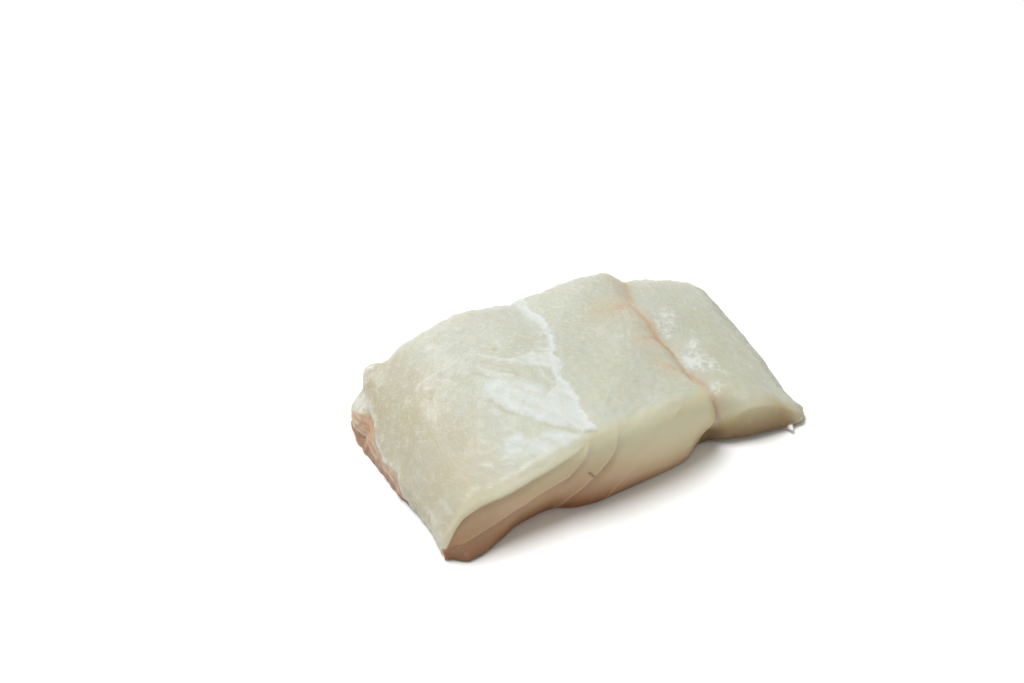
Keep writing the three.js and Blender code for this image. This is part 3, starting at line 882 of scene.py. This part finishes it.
def flap_masks(s, marks):
    """Masks of the flap's front, its tan beside the nose and the shred under its tip, which is painted
    lighter against the shade there.
    """
    under_arc = smooth(profile(FLAP_ARC, s.x) - s.z, *FLAP_ARC_EDGE) * smooth(s.x, *FLAP_TO)
    tan = smooth(s.y, *FLAP_TAN_Y) * smooth(s.x, *FLAP_TAN_TO) * smooth(s.x, *FLAP_TAN_FROM)
    return {
        "flap": smooth(s.past_nose, *FLAP_SIDE) * smooth(s.front, *FLAP_FACING) * under_arc,
        "flap_tan": tan,
        "flap_rise": s.z / FLAP_FRONT + FLAP_TIP_RISE * smooth(s.x, *FLAP_TIP_RISE_X),
        "shred": smooth(s.front, *SHRED_FACING) * smooth(marks.shred, *SHRED_SPAN),
    }


def end_masks(s, marks):
    """Masks of the loin's end: its raw face, the white lining around it, strands and glow."""
    inside = profile(END_RIM, s.y) - s.z
    white = smooth(inside, *END_WHITE) * smooth(inside, *END_WHITE_FOOT) * smooth(s.y, *END_WHITE_Y)
    lining = np.maximum(groove(inside + END_LINING_OVER, END_LINING_WIDTH), white)
    wisps = END_WISP_SHARE * near_lines(END_WISPS, s.y, s.z, END_WISP_WIDTH)
    corner = END_CORNER_SHARE * groove(from_spot(END_CORNER, END_CORNER_REACH, s.y, s.z), 1)
    lining = s.end * np.maximum(lining, np.maximum(wisps, corner))
    lip = smooth(s.y, *END_LIP_Y) * smooth(s.x, *END_LIP_X) * smooth(s.z, *END_LIP_Z)
    return {
        "end": within_limit(inside, smooth(s.end, *ON_END)),
        "end_rim": np.maximum(lining, lip),
        "end_glow": s.end * groove(from_spot(END_GLOW, END_GLOW_REACH, s.y, s.z), 1),
        "strands": s.end * marks.strands,
    }


def tone_masks(s, fibres):
    """Masks of the broad tones of the top, painted shade at the flap's tip among them, and of its fibres."""
    pale_loss = PALE_LOSS * smooth(s.x, *PALE_LOSS_FROM) * smooth(s.x, *PALE_LOSS_TO)
    return {
        "warm": smooth(s.x, *WARM_X) * (WARM_SHARE + cloud(WARM_PATCHES, s.x, s.y)),
        "cool": smooth(s.x, *COOL_X),
        "tip_shade": smooth(s.x + cloud(TIP_SHADE_WANDER, s.x, s.y), *TIP_SHADE_X),
        "pale": smooth(s.y, *PALE_Y) * smooth(s.x, *PALE_X) * (1 - pale_loss),
        "crisp": lerp(*CRISP, smooth(s.y, *CRISP_Y)),
        "granular": s.top * smooth(s.x, *GRANULAR_FROM) * smooth(s.x, *GRANULAR_TO),
        "fibrous": fibres.shown,
        "across": fibres.across,
        "along": fibres.along,
    }


def fillet(places):
    """Points of the fine fillet, with the masks that its material reads."""
    s = smooth_form(places)
    marks = marks_of(s)
    fibres = fibres_of(s)
    cuts = (flakes(s.x, s.z), flakes(s.x + REAR_FLAKE_SHIFT, s.z))
    relief = top_relief(s, marks, fibres) + cut_relief(s, marks, *cuts) + end_relief(s, marks)
    outward = s.facing * [1, 1, 0] + [0, 0, 1] * np.maximum(s.facing, 0)
    base = FLESH_BASE * smooth(s.from_loin, *FLESH_BASE_FADE)
    points = np.stack([s.x, s.y, np.maximum(s.z, base)], -1) + outward * relief[:, None]
    lift = lift_at(s.x, s.y) * (1 - s.up)
    points += np.stack([0 * lift, -lift, lift], -1)
    masks = top_masks(s, marks) | cut_masks(s, marks, *cuts) | flap_masks(s, marks)
    return points, masks | end_masks(s, marks) | tone_masks(s, fibres)


def skin(places):
    """Points of the thin skin under the flesh, its cut edge just showing."""
    along, across, up = places.T
    belly = 4 * up * (1 - up) * SKIN_BULGE
    loin_x = profile(LOIN_BASE, across) + SKIN_LOIN_INSET - belly
    x = lerp(loin_x, profile(FLAP_END, across) - SKIN_INSET + belly, along)
    front_y = profile(FRONT_BASE, x) + profile(SKIN_FRONT_INSET, x) - belly
    y = lerp(front_y, profile(REAR_CUT, x) - SKIN_INSET + belly, across)
    lift = lift_at(x, y)
    return np.stack([x, y - lift, SKIN_THICKNESS * up + lift], -1)


def colour(red, green, blue):
    """Linear colour of an sRGB triple of 0 to 255."""
    return [*(((c / 255 + 0.055) / 1.055) ** 2.4 for c in (red, green, blue)), 1]


class Graph:
    """A material's nodes, made by short calls, and the fields that its layers of paint read."""

    def __init__(self, name):
        self.material = bpy.data.materials.new(name)
        self.material.use_nodes = True
        self.tree = self.material.node_tree
        self.shader = self.tree.nodes["Principled BSDF"]
        self.place = self.add("ShaderNodeTexCoord").outputs["Object"]
        self.fields = {}

    def add(self, kind, inputs=(), **settings):
        node = self.tree.nodes.new(kind)
        for name, value in settings.items():
            setattr(node, name, value)
        for key, value in dict(inputs).items():
            self.put(node.inputs[key], value)
        return node

    def put(self, socket, value):
        if isinstance(value, bpy.types.NodeSocket):
            self.tree.links.new(value, socket)
        else:
            socket.default_value = value

    def set_shader(self, settings):
        """Numbers and colours that are the same all over, on the shader's own sockets."""
        for name, value in settings.items():
            self.shader.inputs[name].default_value = value

    def mask(self, name):
        return self.add("ShaderNodeAttribute", attribute_name=name).outputs["Fac"]

    def noise(self, size, detail, stretch=(1, 1, 1), distortion=0, turn=0):
        place = self.place
        if turn:
            keys = {"Vector": place, "Angle": math.radians(turn)}
            place = self.add("ShaderNodeVectorRotate", keys, rotation_type="Z_AXIS").outputs[0]
        scale = [s / (size * MM) for s in stretch]
        vector = self.add("ShaderNodeMapping", {"Vector": place, "Scale": scale}).outputs[0]
        keys = {"Vector": vector, "Scale": 1, "Detail": detail, "Distortion": distortion}
        return self.add("ShaderNodeTexNoise", keys).outputs["Fac"]

    def ease(self, value, low, high, to_low=0, to_high=1):
        keys = {"Value": value, "From Min": low, "From Max": high, "To Min": to_low, "To Max": to_high}
        return self.add("ShaderNodeMapRange", keys, interpolation_type="SMOOTHSTEP").outputs[0]

    def ramp(self, value, stops):
        """Colour by a value, through stops of (value, tint) that start at 0."""
        reach = stops[-1][0]
        node = self.add("ShaderNodeValToRGB", {0: self.maths("DIVIDE", value, reach)})
        while len(node.color_ramp.elements) < len(stops):
            node.color_ramp.elements.new(1)
        for element, (at, tint) in zip(node.color_ramp.elements, stops):
            element.position = at / reach
            element.color = colour(*tint)
        return node.outputs["Color"]

    def maths(self, operation, a, b):
        return self.add("ShaderNodeMath", {0: a, 1: b}, operation=operation).outputs[0]

    def mix(self, share, a, b, blend="MIX"):
        node = self.add("ShaderNodeMix", {0: share, 6: a, 7: b}, data_type="RGBA", blend_type=blend)
        return node.outputs[2]

    def torn(self, name, rough):
        """A mask of depths in millimetres, whose edge the ragged noise moves by up to rough."""
        if not rough:
            return self.mask(name)
        swing = self.maths("SUBTRACT", self.fields["ragged"], 0.5)
        return self.maths("ADD", self.mask(name), self.maths("MULTIPLY", swing, 2 * rough))

    def share(self, mask="", depth="", rough=0, edge=(), field="", span=(), amount=(0, 1), most=1):
        """How much of a layer shows: its mask, its torn edge, its field and its most, multiplied."""
        parts = []
        if mask:
            parts.append(self.mask(mask))
        if depth:
            parts.append(self.ease(self.torn(depth, rough), *edge))
        if field:
            parts.append(self.ease(self.fields[field], *span, *amount))
        if most != 1:
            parts.append(most)
        total = parts[0]
        for part in parts[1:]:
            total = self.maths("MULTIPLY", total, part)
        return total

    def paint(self, base, layers):
        """A colour with layers of paint over it."""
        for layer in layers:
            shown = {key: value for key, value in layer.items() if key != "tint"}
            base = self.mix(self.share(**shown), base, colour(*layer["tint"]))
        return base


def flesh_material():
    """Wet flesh: tones of the top, then the cuts, the flap's front, the raw end, and the marks over them."""
    g = Graph("wet_cod_flesh")
    for name, settings in FLESH_NOISES.items():
        g.fields[name] = g.noise(**settings)
    along = g.maths("MULTIPLY", g.mask("along"), FIBRE_NOISE_STRETCH)
    fibre_place = g.add("ShaderNodeCombineXYZ", {0: g.mask("across"), 1: along}).outputs[0]
    g.fields["fibre"] = g.add("ShaderNodeTexNoise", {"Vector": fibre_place, **FIBRE_NOISE}).outputs["Fac"]
    g.fields["height"] = g.add("ShaderNodeSeparateXYZ", {0: g.place}).outputs["Z"]

    base = g.paint(colour(*TOP_TINT), TOP_LAYERS)
    base = g.mix(g.mask("blush"), base, g.paint(g.ramp(g.mask("rise"), CUT_RAMP), CUT_LAYERS))
    base = g.mix(g.mask("flap"), base, g.ramp(g.mask("flap_rise"), FLAP_RAMP))
    base = g.mix(g.share(**RAW_SHARE), base, g.paint(colour(*RAW_TINT), RAW_LAYERS))
    base = g.paint(base, MARK_LAYERS)
    grain = g.paint(colour(*GRAIN_TINT), GRAIN_LAYERS)
    base = g.mix(g.share(**GRAIN_SHARE), base, grain, "SOFT_LIGHT")

    g.put(g.shader.inputs["Base Color"], base)
    g.put(g.shader.inputs["Roughness"], g.share(**FLESH_ROUGHNESS))
    g.set_shader(FLESH_FINISH)
    fibre_height = g.maths("MULTIPLY", g.maths("MULTIPLY", g.fields["fibre"], FIBRE_BUMP), g.mask("fibrous"))
    height = g.maths("ADD", g.maths("MULTIPLY", g.fields["fine"], FINE_BUMP), fibre_height)
    bump = g.add("ShaderNodeBump", {"Height": height, **FLESH_BUMP})
    g.put(g.shader.inputs["Normal"], bump.outputs[0])
    return g.material


def skin_material():
    """Olive, blotchy skin with fine scales."""
    g = Graph("cod_skin")
    for name, settings in SKIN_NOISES.items():
        g.fields[name] = g.noise(**settings)
    keys = {"Vector": g.place, "Scale": 1 / (SKIN_SCALE_SIZE * MM)}
    g.fields["scales"] = g.add("ShaderNodeTexVoronoi", keys).outputs["Distance"]
    g.put(g.shader.inputs["Base Color"], g.paint(colour(*SKIN_TINT), SKIN_LAYERS))
    g.set_shader(SKIN_FINISH)
    bump = g.add("ShaderNodeBump", {"Height": g.fields["scales"], **SKIN_BUMP})
    g.put(g.shader.inputs["Normal"], bump.outputs[0])
    return g.material


def add_object(name, data):
    thing = bpy.data.objects.new(name, data)
    bpy.context.scene.collection.objects.link(thing)
    return thing


def mesh_piece(name, points, faces, masks, material):
    """A smooth mesh in metres that moves with the part and stands for its solid."""
    mesh = bpy.data.meshes.new(name)
    mesh.from_pydata((points * MM).tolist(), [], faces)
    mesh.shade_smooth()
    for key, values in masks.items():
        mesh.attributes.new(key, "FLOAT", "POINT").data.foreach_set("value", values.astype(np.float32))
    mesh.materials.append(material)
    piece = add_object(name, mesh)
    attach(piece, "root")
    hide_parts(NODE)


def add_fillet():
    """Both pieces of the fillet, centred on the flesh. Returns their origin."""
    places, faces = block_grid(CELLS, UNDERSIDE_STEP)
    points, masks = fillet(places)
    origin = (points.min(0) + points.max(0)) / 2 * [1, 1, 0]
    mesh_piece("fillet_flesh", points - origin, faces, masks, flesh_material())
    skin_places, skin_faces = block_grid(SKIN_CELLS, 1)
    mesh_piece("fillet_skin", skin(skin_places) - origin, skin_faces, {}, skin_material())
    return origin


def add_camera(origin, pitch, turn):
    camera = add_object("camera", bpy.data.cameras.new("camera"))
    camera.data.lens = LENS
    camera.data.sensor_width = SENSOR
    forward = np.array([math.cos(pitch) * math.sin(turn), math.cos(pitch) * math.cos(turn), -math.sin(pitch)])
    camera.location = (np.array(AIM) - origin - forward * DISTANCE) * MM
    camera.rotation_euler = (math.pi / 2 - pitch, 0, -turn)
    bpy.context.scene.camera = camera


def add_floor():
    mesh = bpy.data.meshes.new("floor")
    corners = [(x * FLOOR_REACH, y * FLOOR_REACH, 0) for x, y in [(-1, -1), (1, -1), (1, 1), (-1, 1)]]
    mesh.from_pydata(corners, [], [(0, 1, 2, 3)])
    floor = add_object("floor", mesh)
    floor.location.z = -FLOOR_DROP
    paper = Graph("floor_paper")
    paper.set_shader(PAPER_FINISH)
    mesh.materials.append(paper.material)


def add_light(turn):
    """Soft light from all around, and the lamps, placed by the camera's turn."""
    world = bpy.data.worlds.new("studio")
    bpy.context.scene.world = world
    world.use_nodes = True
    for key, value in WORLD_LIGHT.items():
        world.node_tree.nodes["Background"].inputs[key].default_value = value
    back = np.array([math.sin(turn), math.cos(turn), 0])
    left = np.array([-math.cos(turn), math.sin(turn), 0])
    above = np.array([0, 0, 1])
    for name, size, energy, to_back, to_left in LAMPS:
        lamp = add_object(name, bpy.data.lights.new(name, "AREA"))
        lamp.data.shape = "DISK"
        lamp.data.size = size
        lamp.data.energy = energy
        lamp.data.color = LAMP_COLOUR
        toward = to_back * back + to_left * left + above
        lamp.location = toward / np.linalg.norm(toward) * LAMP_DISTANCE
        lamp.rotation_euler = Vector(-lamp.location).to_track_quat("-Z", "Y").to_euler()


camera_turn = math.radians(TURN)
fillet_origin = add_fillet()
add_camera(fillet_origin, math.radians(PITCH), camera_turn)
add_floor()
add_light(camera_turn)
bpy.context.scene.view_settings.view_transform = "Standard"

bpy.context.view_layer.update()
